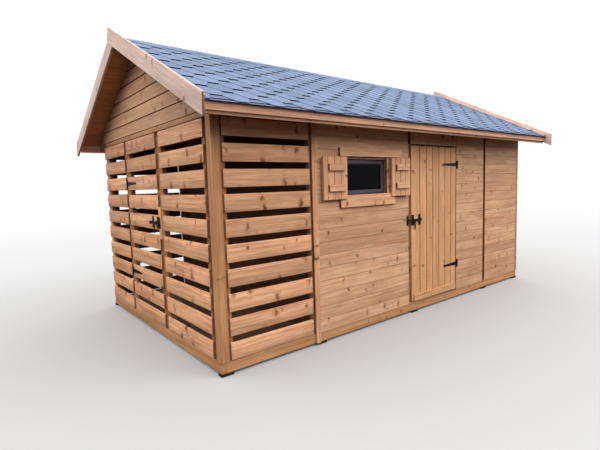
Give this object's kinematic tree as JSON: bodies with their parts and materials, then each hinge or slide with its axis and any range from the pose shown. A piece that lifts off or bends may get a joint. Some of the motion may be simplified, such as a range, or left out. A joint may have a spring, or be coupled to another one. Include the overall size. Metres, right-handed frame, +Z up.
{
  "type": "timber log store with a closed garden room",
  "caption": "Timber garden building: an open slatted log store with a slatted side door, joined to a boarded room with a door and a shuttered window under one gabled shingle roof.",
  "frame": {"origin": "on the ground at the middle of the building's outline", "axes": "+X along the front towards the closed room, front faces -Y, +Z up"},
  "size_m": [5.38, 3.586, 3.0252],
  "materials": {
    "packers": "grey moulded plastic, matt",
    "sill_timber": "planed softwood, oak stain",
    "floor_boards": "planed softwood boards, oak stain",
    "wall_boards": "tongued and grooved softwood, oak stain, satin",
    "slat_boards": "planed softwood boards, oak stain, satin",
    "post_timber": "planed softwood, oak stain",
    "door_boards": "upright softwood boards, oak stain, satin",
    "roof_boards": "softwood boards, oak stain",
    "trim_timber": "planed softwood, light oak stain",
    "shingles": "blue-grey mineral granules on bitumen felt",
    "black_iron": "black powder coat on steel",
    "window_paint": "dark grey painted softwood",
    "window_glass": "clear glass over a dark room"
  },
  "bodies": {
    "building": {"back_bargeboards": "trim_timber", "back_deck": "roof_boards", "back_shingles": "shingles", "back_sills": "sill_timber", "back_slats": "slat_boards", "back_wall_end": "wall_boards", "back_wall_mid": "wall_boards", "cover_strips": "post_timber", "door_header": "wall_boards", "door_surround": "post_timber", "end_sills": "sill_timber", "end_wall": "wall_boards", "fascias": "trim_timber", "floor_joists": "sill_timber", "front_bargeboards": "trim_timber", "front_deck": "roof_boards", "front_shingles": "shingles", "front_sills": "sill_timber", "front_slats": "slat_boards", "front_wall_end": "wall_boards", "front_wall_mid": "wall_boards", "gable_rail": "slat_boards", "ground_pads": "packers", "hinge_leaves": "black_iron", "hinge_packers": "slat_boards", "latch_backing": "slat_boards", "latch_keepers": "black_iron", "left_gable": "wall_boards", "left_shutter": "door_boards", "partition": "wall_boards", "partition_gable": "wall_boards", "rafters": "post_timber", "ridge_board": "post_timber", "ridge_cap": "shingles", "right_gable": "wall_boards", "right_shutter": "door_boards", "room_floor": "floor_boards", "room_posts": "post_timber", "side_slats_far": "slat_boards", "side_slats_near": "slat_boards", "store_floor": "floor_boards", "store_posts": "post_timber", "verge_battens": "trim_timber", "wall_plates": "post_timber", "window_casing": "door_boards", "window_frame": "window_paint", "window_glass": "window_glass", "window_wall": "wall_boards"},
    "room_door": {"room_door": "door_boards", "room_hinge_straps": "black_iron", "room_door_latch": "black_iron"},
    "store_door": {"store_door": "slat_boards", "store_hinge_straps": "black_iron", "store_door_latch": "black_iron"}
  },
  "joints": [
    {"name": "room_door_swing", "type": "hinge", "parent": "building", "child": "room_door", "pos_m": [0.832, -1.436, 1], "axis": [0, 0, 1], "range_deg": [0, 150]},
    {"name": "store_door_swing", "type": "hinge", "parent": "building", "child": "store_door", "pos_m": [-2.461, 0.574, 1.05], "axis": [0, 0, -1], "range_deg": [0, 150]}
  ]
}
